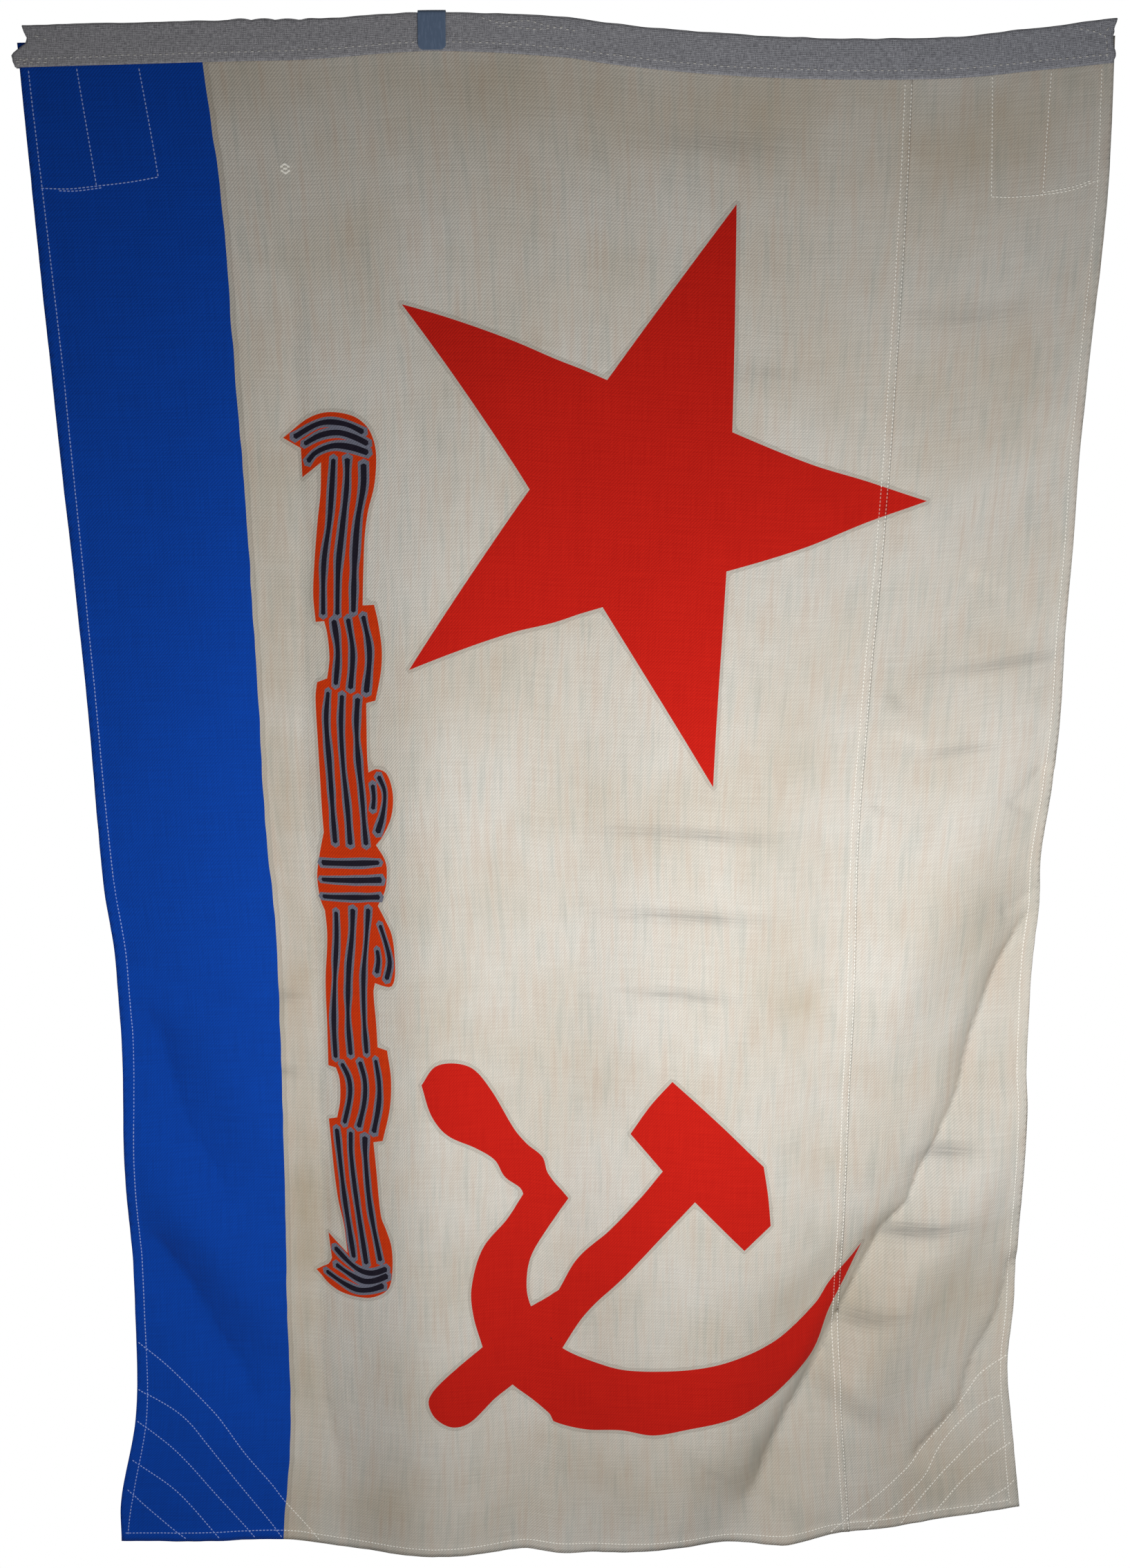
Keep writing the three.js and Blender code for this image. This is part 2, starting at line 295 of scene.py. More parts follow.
# The ribbon, tied with a knot in its middle, and the dark stripes along it
RIBBON = [
    [(235, 351), (256, 345), (280, 349), (294, 359), (301, 373), (303, 389), (300, 415), (293, 438),
     (289, 462), (287, 495), (286, 526)],
    [(298, 526)],
    [(302, 542), (306, 568), (305, 590), (299, 617)],
    [(289, 619)],
    [(289, 642), (289, 671), (290, 686)],
    [(299, 683), (310, 688), (316, 708), (313, 730), (302, 749), (294, 757)],
    [(302, 770), (304, 780), (300, 801), (290, 817)],
    [(297, 831), (303, 845), (305, 869), (304, 889), (300, 897), (292, 897), (281, 894)],
    [(279, 903), (281, 935), (282, 959)],
    [(293, 962)],
    [(297, 991), (295, 1021), (286, 1055)],
    [(275, 1057)],
    [(278, 1085), (283, 1134), (289, 1148), (295, 1165), (296, 1188), (292, 1208), (281, 1217),
     (264, 1222), (235, 1220), (217, 1213), (204, 1202)],
    [(219, 1193), (223, 1186)],
    [(219, 1160)],
    [(242, 1177)],
    [(238, 1148), (232, 1124), (228, 1098), (224, 1060), (222, 1039)],
    [(232, 1036)],
    [(236, 1018), (236, 995), (232, 984)],
    [(223, 983)],
    [(223, 943), (223, 896), (228, 849), (228, 825)],
    [(224, 814), (223, 792), (228, 771), (236, 746)],
    [(236, 701), (235, 657), (234, 613), (236, 599)],
    [(247, 595)],
    [(249, 584), (250, 574), (248, 552), (245, 540)],
    [(236, 541)],
    [(234, 516), (236, 485), (241, 444), (245, 419), (247, 391)],
    [(227, 405)],
    [(227, 390), (227, 378)],
    [(223, 376), (210, 369)],
]
STRIPES = [
    [(219, 369), (242, 357), (256, 354), (275, 357), (293, 366)],
    [(229, 375), (248, 366), (266, 364), (282, 369), (297, 377)],
    [(232, 392), (242, 382), (260, 376), (278, 378), (297, 385)],
    [(260, 386), (257, 413), (253, 446), (246, 485), (244, 536)],
    [(274, 386), (272, 414), (266, 453), (261, 489), (259, 536)],
    [(290, 392), (289, 414), (282, 447), (278, 486), (276, 534)],
    [(255, 537), (259, 569), (256, 603)],
    [(270, 536), (275, 570), (272, 607)],
    [(286, 534), (293, 570), (289, 611)],
    [(248, 606), (245, 635), (247, 679), (248, 715), (248, 758)],
    [(263, 609), (261, 639), (262, 678), (265, 722), (265, 759)],
    [(280, 612), (278, 639), (279, 671), (282, 712), (283, 759)],
    [(300, 688), (307, 705), (304, 727), (296, 747)],
    [(294, 696), (295, 711), (293, 724)],
    [(228, 777), (298, 774)],
    [(226, 794), (299, 791)],
    [(225, 811), (295, 808)],
    [(241, 823), (239, 848), (235, 882), (231, 937), (232, 976)],
    [(261, 819), (257, 847), (251, 881), (248, 933), (250, 971)],
    [(279, 818), (273, 853), (268, 886), (267, 931), (269, 968)],
    [(290, 834), (297, 859), (299, 874), (294, 892)],
    [(285, 859), (286, 871), (283, 886)],
    [(238, 977), (247, 993), (248, 1011), (240, 1043)],
    [(260, 973), (266, 994), (265, 1016), (257, 1045)],
    [(279, 970), (283, 996), (282, 1018), (275, 1049)],
    [(231, 1046), (234, 1074), (240, 1123), (250, 1183)],
    [(248, 1047), (248, 1072), (254, 1121), (265, 1188)],
    [(265, 1050), (265, 1070), (270, 1125), (282, 1183)],
    [(225, 1173), (253, 1192), (271, 1195), (291, 1188)],
    [(226, 1191), (258, 1204), (273, 1203), (292, 1195)],
    [(214, 1201), (250, 1214), (268, 1213), (287, 1206)],
]
STRIPE_HALF = 4.9
STRIPE_CORE_HALF = 2.5
STRIPE_CORE_INSET = 3
STRIPE_UNEVEN = (0.35, 25, 24.5)
STRIPE_TIP_SHARE = 0.6


def stripe_outline(points, half, inset):
    """A long narrow outline on either side of a line, with rounded ends."""
    line = smooth_run(points)
    direction = np.gradient(line, axis=0)
    direction /= np.linalg.norm(direction, axis=1, keepdims=True)
    uneven = half * (1 + rough(line[:, 0], line[:, 1], STRIPE_UNEVEN))
    aside = np.stack([-direction[:, 1], direction[:, 0]], axis=1) * uneven[:, None]
    line[0] += direction[0] * inset
    line[-1] -= direction[-1] * inset
    tip = half * STRIPE_TIP_SHARE
    tips = [line[-1] + direction[-1] * tip, line[0] - direction[0] * tip]
    return np.concatenate([line + aside, tips[:1], (line - aside)[::-1], tips[1:]])


star_sides = [[corner] for corner in star_corners[1:] + star_corners[:1]]
figures = [
    (RED, closed_outline(star_sides)),
    (RED, closed_outline(SICKLE)),
    (RED, closed_outline(HAMMER)),
    (ORANGE, closed_outline(RIBBON)),
]
prints = list(figures)
prints += [(GREY, stripe_outline(line, STRIPE_HALF, 0)) for line in STRIPES]
prints += [(BLACK, stripe_outline(line, STRIPE_CORE_HALF, STRIPE_CORE_INSET)) for line in STRIPES]
# The dyed edge of the blue stripe, as (how far past the stripe's width, down)
BLUE_EDGE = [(1, CLOTH_TOP), (1, 160), (-2, 300), (0, 480), (4, 620), (3, 760), (0, 900), (0, FLY)]
BLUE_EDGE_WAVER = (0.8, 30, 4.5)
blue_edge = smooth_run([(BLUE_STRIPE + past, down) for past, down in BLUE_EDGE])
blue_edge[:, 0] += rough(blue_edge[:, 1], blue_edge[:, 1], BLUE_EDGE_WAVER)


def nearest_to(points):
    """A tree that finds the nearest of some flat points."""
    tree = kdtree.KDTree(len(points))
    for n, (across, down) in enumerate(points):
        tree.insert((across, down, 0), n)
    tree.balance()
    return tree


def cut_cloth(left, right, step, lines):
    """A rectangular cut, filled with triangles whose edges follow the given lines: points and triangles."""
    line_points = []
    line_edges = []
    for line, closed in lines:
        line = line[np.linalg.norm(np.diff(line, axis=0, prepend=line[:1] - 1), axis=1) > 0.3]
        first = len(line_points)
        line_points += [tuple(point) for point in line]
        line_edges += [(n, n + 1) for n in range(first, len(line_points) - 1)]
        if closed:
            line_edges.append((len(line_points) - 1, first))
    tree = nearest_to(line_points)
    rows = round((FLY - CLOTH_TOP) / (step * math.sqrt(3) / 2))
    columns = round((right - left) / step)
    points = []
    for row in range(rows + 1):
        down = CLOTH_TOP + (FLY - CLOTH_TOP) * row / rows
        shares = np.arange(columns + 1.0)
        if row % 2:
            shares = np.concatenate([[0], shares[:-1] + 0.5, [columns]])
        for share in shares:
            across = left + (right - left) * share / columns
            border = share in (0, columns) or row in (0, rows)
            if border or tree.find((across, down, 0))[2] > 0.5 * step:
                points.append((across, down))
    for hem in (HEM_WIDTH, HEM_WIDTH + 1.5):
        for down in np.arange(CLOTH_TOP + step, FLY - step, step):
            points += [(edge, down) for edge in (hem, HOIST - hem) if left < edge < right]
        points += [(across, FLY - hem) for across in np.arange(left + step, right - step, step)]
    corners = [Vector((across, -down)) for across, down in line_points + points]
    found = geometry.delaunay_2d_cdt(corners, line_edges, [], 0, 1e-3, False)
    flat = np.array([(v.x, -v.y) for v in found[0]])
    return flat, np.array(found[2])


def inside(points, outline):
    """Which points lie inside a closed outline."""
    near = np.flatnonzero(((points >= outline.min(axis=0)) & (points <= outline.max(axis=0))).all(axis=1))
    x, y = points[near].T
    odd = np.zeros(len(near), bool)
    for (x0, y0), (x1, y1) in zip(outline, np.roll(outline, 1, axis=0)):
        if y0 != y1:
            odd ^= ((y0 > y) != (y1 > y)) & (x < (x1 - x0) * (y - y0) / (y1 - y0) + x0)
    found = np.zeros(len(points), bool)
    found[near[odd]] = True
    return found


def add_mesh(name, points, faces, slots, materials):
    """A smooth mesh, with the number of its material for each face."""
    mesh = bpy.data.meshes.new(name)
    mesh.from_pydata(points.tolist(), [], faces.tolist())
    for material in materials:
        mesh.materials.append(material)
    mesh.polygons.foreach_set("material_index", slots.astype(np.int32))
    mesh.shade_smooth()
    piece = bpy.data.objects.new(name, mesh)
    bpy.context.collection.objects.link(piece)
    return piece


def closed_sheet(name, flat, triangles, places, half, slots, materials, marks=(99, 0, 0)):
    """A thin closed sheet: the triangles at their places, with a front, a back and a rim between them."""
    corners = places[triangles]
    faces = np.cross(corners[:, 1] - corners[:, 0], corners[:, 2] - corners[:, 0])
    normals = np.zeros_like(places)
    for n in range(3):
        np.add.at(normals, triangles[:, n], faces)
    normals /= np.linalg.norm(normals, axis=1, keepdims=True)
    count = len(places)
    offset = normals * (np.broadcast_to(half, count) * MM)[:, None]
    edges = np.concatenate([triangles[:, [0, 1]], triangles[:, [1, 2]], triangles[:, [2, 0]]])
    owners = np.tile(np.arange(len(triangles)), 3)
    _, first, uses = np.unique(np.sort(edges, axis=1), axis=0, return_index=True, return_counts=True)
    single = first[uses == 1]
    a, b = edges[single].T
    rim = np.concatenate([np.stack([b, a, a + count], axis=1), np.stack([b, a + count, b + count], axis=1)])
    all_faces = np.concatenate([triangles, triangles[:, ::-1] + count, rim])
    all_slots = np.concatenate([slots, slots, slots[owners[single]], slots[owners[single]]])
    all_points = np.concatenate([places + offset, places - offset])
    piece = add_mesh(name, all_points, all_faces, all_slots, materials)
    mesh = piece.data
    flat_points = np.zeros((2 * count, 3), np.float32)
    flat_points[:, :2] = np.concatenate([flat, flat])
    mesh.attributes.new("flat", "FLOAT_VECTOR", "POINT").data.foreach_set("vector", flat_points.ravel())
    mark_points = np.tile(np.broadcast_to(marks, (count, 3)), (2, 1)).astype(np.float32)
    mesh.attributes.new("marks", "FLOAT_VECTOR", "POINT").data.foreach_set("vector", mark_points.ravel())
    lay_flat(mesh, flat, count)
    return piece


def lay_flat(mesh, flat, count):
    """A flat layout of both faces side by side, the front on the left half."""
    margin = 0.004
    low, high = flat.min(axis=0), flat.max(axis=0)
    share = (flat - low) / (high - low)
    layout = np.empty((2 * count, 2))
    layout[:count, 0] = margin + share[:, 0] * (0.5 - 2 * margin)
    layout[count:, 0] = 1 - margin - share[:, 0] * (0.5 - 2 * margin)
    layout[:, 1] = np.tile(1 - margin - share[:, 1] * (1 - 2 * margin), 2)
    corner_points = np.empty(len(mesh.loops), np.int32)
    mesh.loops.foreach_get("vertex_index", corner_points)
    uv = mesh.uv_layers.new(name="OFBake")
    uv.data.foreach_set("uv", layout[corner_points].astype(np.float32).ravel())


# Marks on the cloth as (across, down, half width, half height, strength): dye that rubbed off in bands,
# and brown marks: two stains, and painted shade in bands along the top below the heading and along the
# hem and in broad patches over the folds at the lower right
RUBBED_BLUE = [
    (940, 588, 52, 6, 0.7), (902, 667, 28, 5, 0.6), (638, 742, 82, 6, 0.7), (628, 824, 70, 6, 0.8),
    (620, 904, 48, 5, 0.8), (920, 1088, 26, 8, 1.0), (898, 1170, 44, 8, 1.2),
    (846, 1262, 34, 10, 0.9), (177, 915, 14, 6, 0.8),
    (174, 994, 14, 6, 0.7), (640, 95, 60, 14, 0.5), (640, 300, 70, 10, 0.35), (880, 250, 60, 10, 0.35),
]
STAINS_AND_PAINTED_SHADE = [
    (760, 910, 26, 22, 0.5), (830, 1300, 110, 120, 0.35), (900, 1420, 90, 70, 0.5),
    (640, 1440, 160, 50, 0.4), (300, 1440, 90, 45, 0.4), (192, 1020, 24, 470, 0.9), (500, 60, 420, 40, 0.5),
    (870, 90, 110, 60, 0.4),
]

# How much narrower the greyed band is round the figures than along the blue stripe
PRINT_HALO_INSET = 1.6


def spots(flat, marks):
    strength = np.zeros(len(flat))
    for across, down, wide, high, strong in marks:
        away = ((flat[:, 0] - across) / wide) ** 2 + ((flat[:, 1] - down) / high) ** 2
        strength = np.maximum(strength, strong * np.exp(-away))
    return strength


def past_blue(flat):
    """How far right of the blue stripe's edge points of the flat cloth lie."""
    return flat[:, 0] - np.interp(flat[:, 1], blue_edge[:, 1], blue_edge[:, 0])


def bunting_piece(name, left, right, step, behind, materials):
    """One of the flag's two cloths, cut from left to right, printed, marked and hung."""
    shapes = []
    for dye, outline in prints:
        clipped = np.stack([np.clip(outline[:, 0], left, right), outline[:, 1]], axis=1)
        if np.ptp(clipped[:, 0]) > 1:
            shapes.append((dye, clipped))
    lines = [(outline, True) for dye, outline in shapes]
    for crease in CREASES:
        line = smooth_run(crease[-1])
        lines.append((line[(line[:, 0] > left + step) & (line[:, 0] < right - step)], False))
    if left < BLUE_STRIPE:
        lines.append((blue_edge, False))
    flat, triangles = cut_cloth(left, right, step, lines)
    middles = flat[triangles].mean(axis=1)
    slots = np.where(past_blue(middles) < 0, BLUE, NATURAL)
    for dye, outline in shapes:
        slots[inside(middles, outline)] = dye
    places = cloth_place(flat[:, 0], flat[:, 1])
    places[:, 1] += behind * MM
    half = np.where(edge_distance(*flat.T) < HEM_WIDTH + 0.5, HEM_HALF, CLOTH_HALF)
    tree = nearest_to(np.concatenate([outline for dye, outline in figures]))
    to_print = PRINT_HALO_INSET + np.array([tree.find((across, down, 0))[2] for across, down in flat])
    to_edge = np.minimum(to_print, np.abs(past_blue(flat)))
    # The third channel holds the brown stains and the painted shade along the top, the hem and the lower
    # right folds
    marks = np.stack([to_edge, spots(flat, RUBBED_BLUE), spots(flat, STAINS_AND_PAINTED_SHADE)], axis=1)
    return closed_sheet(name, flat, triangles, places, half, slots, materials, marks)


def linear(hex_colour):
    """A colour written as #rrggbb, turned from sRGB to the linear values that a shader takes."""
    channels = [int(hex_colour[n:n + 2], 16) / 255 for n in (1, 3, 5)]
    return (*(c / 12.92 if c <= 0.04045 else ((c + 0.055) / 1.055) ** 2.4 for c in channels), 1)


def node(tree, kind, inputs=None, **settings):
    """Adds a shader node: settings by name, and inputs by name or number, as values or as links."""
    added = tree.nodes.new("ShaderNode" + kind)
    for name, value in settings.items():
        setattr(added, name, value)
    for name, value in (inputs or {}).items():
        if isinstance(value, bpy.types.NodeSocket):
            tree.links.new(value, added.inputs[name])
        else:
            added.inputs[name].default_value = value
    return added


# The colour sockets of a mix node
MIX, UNDER, OVER, MIXED = 0, 6, 7, 2


def new_material(name):
    material = bpy.data.materials.new(name)
    material.use_nodes = True
    material.node_tree.nodes.clear()
    return material, material.node_tree


def blend(tree, amount, under, over, **settings):
    """One colour laid over another by an amount."""
    inputs = {MIX: amount, UNDER: under, OVER: over}
    return node(tree, "Mix", inputs, data_type="RGBA", **settings).outputs[MIXED]


def mottle(tree, place, scale, detail):
    """Soft noise from 0 to 1: scale is one value, or one for each axis."""
    if isinstance(scale, tuple):
        place = node(tree, "Mapping", {"Vector": place, "Scale": scale}).outputs[0]
        scale = 1.0
    return node(tree, "TexNoise", {"Vector": place, "Scale": scale, "Detail": detail}).outputs["Fac"]


def remap(tree, value, low, high, to_low=0.0, to_high=1.0):
    """A value between low and high, stretched to another range and held there."""
    return node(tree, "MapRange", {"Value": value, "From Min": low, "From Max": high, "To Min": to_low,
                                   "To Max": to_high}).outputs[0]


def reckon(tree, operation, *values):
    return node(tree, "Math", dict(enumerate(values)), operation=operation).outputs[0]


TWILL_PITCH = 2.2
STREAK_WIDTH = 1.6
STREAK_LENGTH = 45
BLOTCH_SIZE = 130
HUE_WIDTH = 7
HUE_LENGTH = 80
HALO_WIDTH = 4.6
TIDE_LINE = 1.3
HALO_WANDER_SIZE = 9
HALO_WANDER = 2.4


def bunting(name, colour, worn, halo=None):
    """Worsted wool bunting: matt, with a fine slanting twill and uneven threads that streak both ways.
    Undyed cloth has greyed in a band round each print, with a tide line at the band's edge.
    The twill is drawn coarser than its real 1.2 mm, so that it shows."""
    material, tree = new_material(name)
    flat = node(tree, "Attribute", attribute_name="flat").outputs["Vector"]
    streaks = [mottle(tree, flat, (1 / STREAK_WIDTH, 1 / STREAK_LENGTH, 1), 2.0),
               mottle(tree, flat, (1 / STREAK_LENGTH, 1 / STREAK_WIDTH, 1), 2.0)]
    thread_shade = remap(tree, reckon(tree, "ADD", *streaks), 0.7, 1.3)
    base = blend(tree, thread_shade, linear(colour), linear(worn))
    twill_scale = 2 * math.pi / 10 / math.sqrt(2) / TWILL_PITCH
    twill = node(tree, "TexWave", {"Vector": flat, "Scale": twill_scale, "Distortion": 0.8,
                                   "Detail Scale": 2.0}, bands_direction="DIAGONAL").outputs["Fac"]
    base = blend(tree, remap(tree, twill, 0.0, 1.0, 0.2, 0.0), base, (0, 0, 0, 1))
    if halo:
        blotch = mottle(tree, flat, 1 / BLOTCH_SIZE, 4.0)
        hue = mottle(tree, flat, (1 / HUE_WIDTH, 1 / HUE_LENGTH, 1), 3.0)
        for pattern, low, high, tint in ((blotch, 0.38, 0.72, "#f2eee7"), (hue, 0.5, 0.7, "#fbf5f2"),
                                         (hue, 0.5, 0.3, "#f2f6f7")):
            amount = remap(tree, pattern, low, high)
            base = blend(tree, amount, base, linear(tint), blend_type="MULTIPLY")
        marks = node(tree, "Attribute", attribute_name="marks").outputs["Vector"]
        split = node(tree, "SeparateXYZ", {0: marks})
        wander = mottle(tree, flat, 1 / HALO_WANDER_SIZE, 2.0)
        edge = reckon(tree, "MULTIPLY_ADD", wander, HALO_WANDER, split.outputs["X"])
        band_edge = HALO_WIDTH + HALO_WANDER / 2
        band = remap(tree, edge, band_edge, band_edge + TIDE_LINE, 0.3, 0.0)
        aside = reckon(tree, "ABSOLUTE", reckon(tree, "SUBTRACT", edge, band_edge))
        tide = remap(tree, aside, 0.0, TIDE_LINE, 0.1, 0.0)
        rubbed = reckon(tree, "MULTIPLY", split.outputs["Y"], streaks[1])
        # Brown stains and painted shade: darker and browner along the top, along the hem and over the lower
        # right folds
        stains_and_shade = reckon(tree, "MULTIPLY", split.outputs["Z"], blotch)
        for amount, over in ((band, halo), (tide, "#6f675e"), (rubbed, "#807f7b"), (stains_and_shade, "#a3906f")):
            base = blend(tree, amount, base, linear(over))
    height = reckon(tree, "ADD", thread_shade, twill)
    bump = node(tree, "Bump", {"Height": height, "Strength": 0.6, "Distance": 0.0003})
    shader = node(tree, "BsdfPrincipled", {"Base Color": base, "Roughness": 0.9,
                                           "Specular IOR Level": 0.08, "Sheen Weight": 0.03,
                                           "Normal": bump.outputs[0]})
    node(tree, "OutputMaterial", {"Surface": shader.outputs[0]})
    return material


BUNTING = [
    bunting("undyed wool bunting", "#dcd7cd", "#d2ccc2", halo="#8f867b"),
    bunting("wool bunting dyed blue", "#0a48b4", "#0a42a6"),
    bunting("wool bunting printed red", "#cc2015", "#c11b12"),
    bunting("wool bunting printed orange", "#d43c0c", "#c8340a"),
    bunting("wool bunting printed grey", "#767888", "#6a6c7a"),
    bunting("wool bunting printed black", "#191623", "#231f2b"),
]

main_cloth = bunting_piece("main_cloth_sheet", 0, MAIN_WIDTH + LAP_HALF, MAIN_STEP, 0, BUNTING)
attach(main_cloth, "root")
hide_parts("main_cloth")

# The narrow cloth: the same bunting, lapped behind the wide one and sewn with two rows. The star's and
# the sickle's tips run over the seam onto it.
SIDE_STEP = 4.5
SIDE_BEHIND = 0.65
side_cloth = bunting_piece("side_cloth_sheet", MAIN_WIDTH - LAP_HALF, HOIST, SIDE_STEP, SIDE_BEHIND, BUNTING)
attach(side_cloth, "root")
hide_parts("side_cloth")

# The corner patches: bunting sewn flat to the back of the four corners, where the flag is pulled hardest.
# The upper two are oblong and the lower two are triangles; those in the blue stripe are blue.
PATCH_HALF = 0.5
PATCH_BEHIND = 1.6
HEM_INSET = 3
UPPER_PATCH_WIDTH = 108
UPPER_PATCH_TOP = 44
UPPER_PATCH_BOTTOM = 143
LOWER_LEFT_LEG = 215
LOWER_RIGHT_LEG = HOIST - MAIN_WIDTH - HEM_INSET
LOWER_PATCH_TIP = 14
PATCH_STEP = 4


def grid_triangles(columns, rows):
    """The triangles of a grid whose points run along its rows, from the lowest row up."""
    corner = np.arange(columns * rows)
    a = corner // columns * (columns + 1) + corner % columns
    b, c, d = a + 1, a + columns + 2, a + columns + 1
    return np.concatenate([np.stack([a, b, c], axis=1), np.stack([a, c, d], axis=1)])


def patch(name, edge, inward, top, bottom, top_width, bottom_width, dye, behind):
    """A patch along one side edge of the flag, as wide as given at its top and at its bottom."""
    rows = round((bottom - top) / PATCH_STEP)
    columns = round(max(top_width, bottom_width) / PATCH_STEP)
    up = np.repeat(np.linspace(0, 1, rows + 1), columns + 1)
    share = np.tile(np.linspace(0, 1, columns + 1), rows + 1)
    if inward < 0:
        share = 1 - share
    width = bottom_width + (top_width - bottom_width) * up
    flat = np.stack([edge + inward * (HEM_INSET + share * width), bottom + (top - bottom) * up], axis=1)
    places = cloth_place(flat[:, 0], flat[:, 1])
    places[:, 1] += behind * MM
    triangles = grid_triangles(columns, rows)
    slots = np.full(len(triangles), dye)
    piece = closed_sheet(name, flat, triangles, places, PATCH_HALF, slots, BUNTING)
    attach(piece, "root")
    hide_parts(name.replace("_sheet", ""))
    return piece


LOWER_PATCH_BOTTOM = FLY - HEM_INSET
upper = (UPPER_PATCH_TOP, UPPER_PATCH_BOTTOM, UPPER_PATCH_WIDTH, UPPER_PATCH_WIDTH)
lower_left = (LOWER_PATCH_BOTTOM - LOWER_LEFT_LEG, LOWER_PATCH_BOTTOM, LOWER_PATCH_TIP, LOWER_LEFT_LEG)
lower_right = (LOWER_PATCH_BOTTOM - LOWER_RIGHT_LEG, LOWER_PATCH_BOTTOM, LOWER_PATCH_TIP, LOWER_RIGHT_LEG)
behind_side = PATCH_BEHIND + SIDE_BEHIND
patches = [
    patch("patch_upper_left_sheet", 0, 1, *upper, BLUE, PATCH_BEHIND),
    patch("patch_upper_right_sheet", HOIST, -1, *upper, NATURAL, behind_side),
    patch("patch_lower_left_sheet", 0, 1, *lower_left, BLUE, PATCH_BEHIND),
    patch("patch_lower_right_sheet", HOIST, -1, *lower_right, NATURAL, behind_side),
]

# The stitching: bleached cotton thread, lockstitched by machine through hems, seam and patches, so that the
# same rows show on the front and on the back. On the blue stripe the thread has taken up some dye.
STITCH_PITCH = 3.7
STITCH_SHARE = 0.93
THREAD_HALF = 0.58
THREAD_HEIGHT = 0.45
STITCH_LIFT = 0.1
WHITE_THREAD, BLUE_THREAD, RED_THREAD = range(3)
SEAM_ROWS = [
    [(809, 38), (808, 700), (809, FLY - 2)],
    [(815, 38), (814.6, 700), (815, FLY - 2)],
]
HEM_ROWS = [
    [(8, 38), (11, 300), (9, 620), (12, 900), (10, 1180), (12, 1446), (7, FLY - 7)],
    [(989, 41), (992, 500), (990, 900), (993, 1334), (990, 1477), (991, FLY - 4)],
    [(4, 1491), (160, 1490), (330, 1492), (480, 1490), (640, 1492), (806, 1490), (990, 1491)],
]
UPPER_LEFT_ROWS = [
    [(53, 37), (56, 90), (59, 141)],
    [(111, 38), (114, 90), (116, 134)],
    [(8, 142), (34, 143), (59, 141), (90, 138), (116, 134)],
    [(24, 144.5), (40, 145), (64, 142.5)],
]
UPPER_RIGHT_ROWS = [
    [(889, 36), (891, 90), (893, 144)],
    [(943, 39), (941, 100), (940, 150)],
    [(893, 144), (915, 147), (940, 148), (968, 147), (992, 141)],
    [(940, 146), (968, 144.5), (984, 141)],
]
LOWER_LEFT_ROWS = [
    [(2, 1279), (29, 1301), (60, 1331), (96, 1369), (124, 1404), (152, 1436), (171, 1460), (211, 1497)],
    [(1, 1331), (50, 1360), (86, 1397), (128, 1446), (169, 1498)],
    [(2, 1366), (53, 1403), (108, 1459), (141, 1498)],
    [(4, 1409), (61, 1448), (104, 1497)],
    [(5, 1442), (52, 1484), (69, 1497)],
]
LOWER_RIGHT_ROWS = [
    [(999, 1331), (986, 1339), (970, 1350), (959, 1365), (943, 1385), (921, 1406), (888, 1434), (855, 1458),
     (815, 1484), (794, 1498)],
    [(991, 1374), (969, 1383), (943, 1402), (923, 1422), (905, 1448), (877, 1471), (846, 1491), (836, 1499)],
    [(990, 1400), (970, 1412), (938, 1438), (908, 1463), (883, 1488), (874, 1498)],
    [(997, 1427), (969, 1443), (947, 1459), (918, 1486), (910, 1494)],
    [(997, 1469), (989, 1476), (967, 1487), (950, 1498)],
]


# A small round darn, as short upright rows side by side
DARN_MIDDLE = (234, 127)
DARN_PITCH = 0.8
DARN_HALF = 6
DARN_ROUNDING = 0.5
DARN_ROWS = []
for n in range(-5, 6):
    across = DARN_MIDDLE[0] + n * DARN_PITCH
    reach = DARN_HALF - abs(n) * DARN_ROUNDING
    DARN_ROWS.append([(across, DARN_MIDDLE[1] - reach), (across, DARN_MIDDLE[1] + reach)])


def stitch_mesh(name, starts, ends, outward, slots, materials):
    """Stitches as small beans of thread from start to end, joined into one piece."""
    length = np.linalg.norm(ends - starts, axis=1, keepdims=True)
    forward = (ends - starts) / length
    up = outward - forward * (outward * forward).sum(axis=1, keepdims=True)
    up /= np.linalg.norm(up, axis=1, keepdims=True)
    aside = np.cross(up, forward)
    ring = [side * MM for side in
            (aside * THREAD_HALF, up * THREAD_HEIGHT, -aside * THREAD_HALF, -up * THREAD_HEIGHT)]
    sunk = up * THREAD_HEIGHT * MM
    rows = [starts - sunk]
    rows += [starts + forward * length * 0.25 + spoke for spoke in ring]
    rows += [starts + forward * length * 0.75 + spoke for spoke in ring]
    rows += [ends - sunk]
    points = np.stack(rows, axis=1).reshape(-1, 3)
    bean = []
    for n in range(4):
        m = (n + 1) % 4
        bean += [(0, 1 + m, 1 + n), (1 + n, 1 + m, 5 + m), (1 + n, 5 + m, 5 + n), (9, 5 + n, 5 + m)]
    bean = np.array(bean)
    first = np.arange(len(starts)) * len(rows)
    faces = (first[:, None, None] + bean[None]).reshape(-1, 3)
    piece = add_mesh(name, points, faces, np.repeat(slots, len(bean)), materials)
    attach(piece, "root")
    return piece


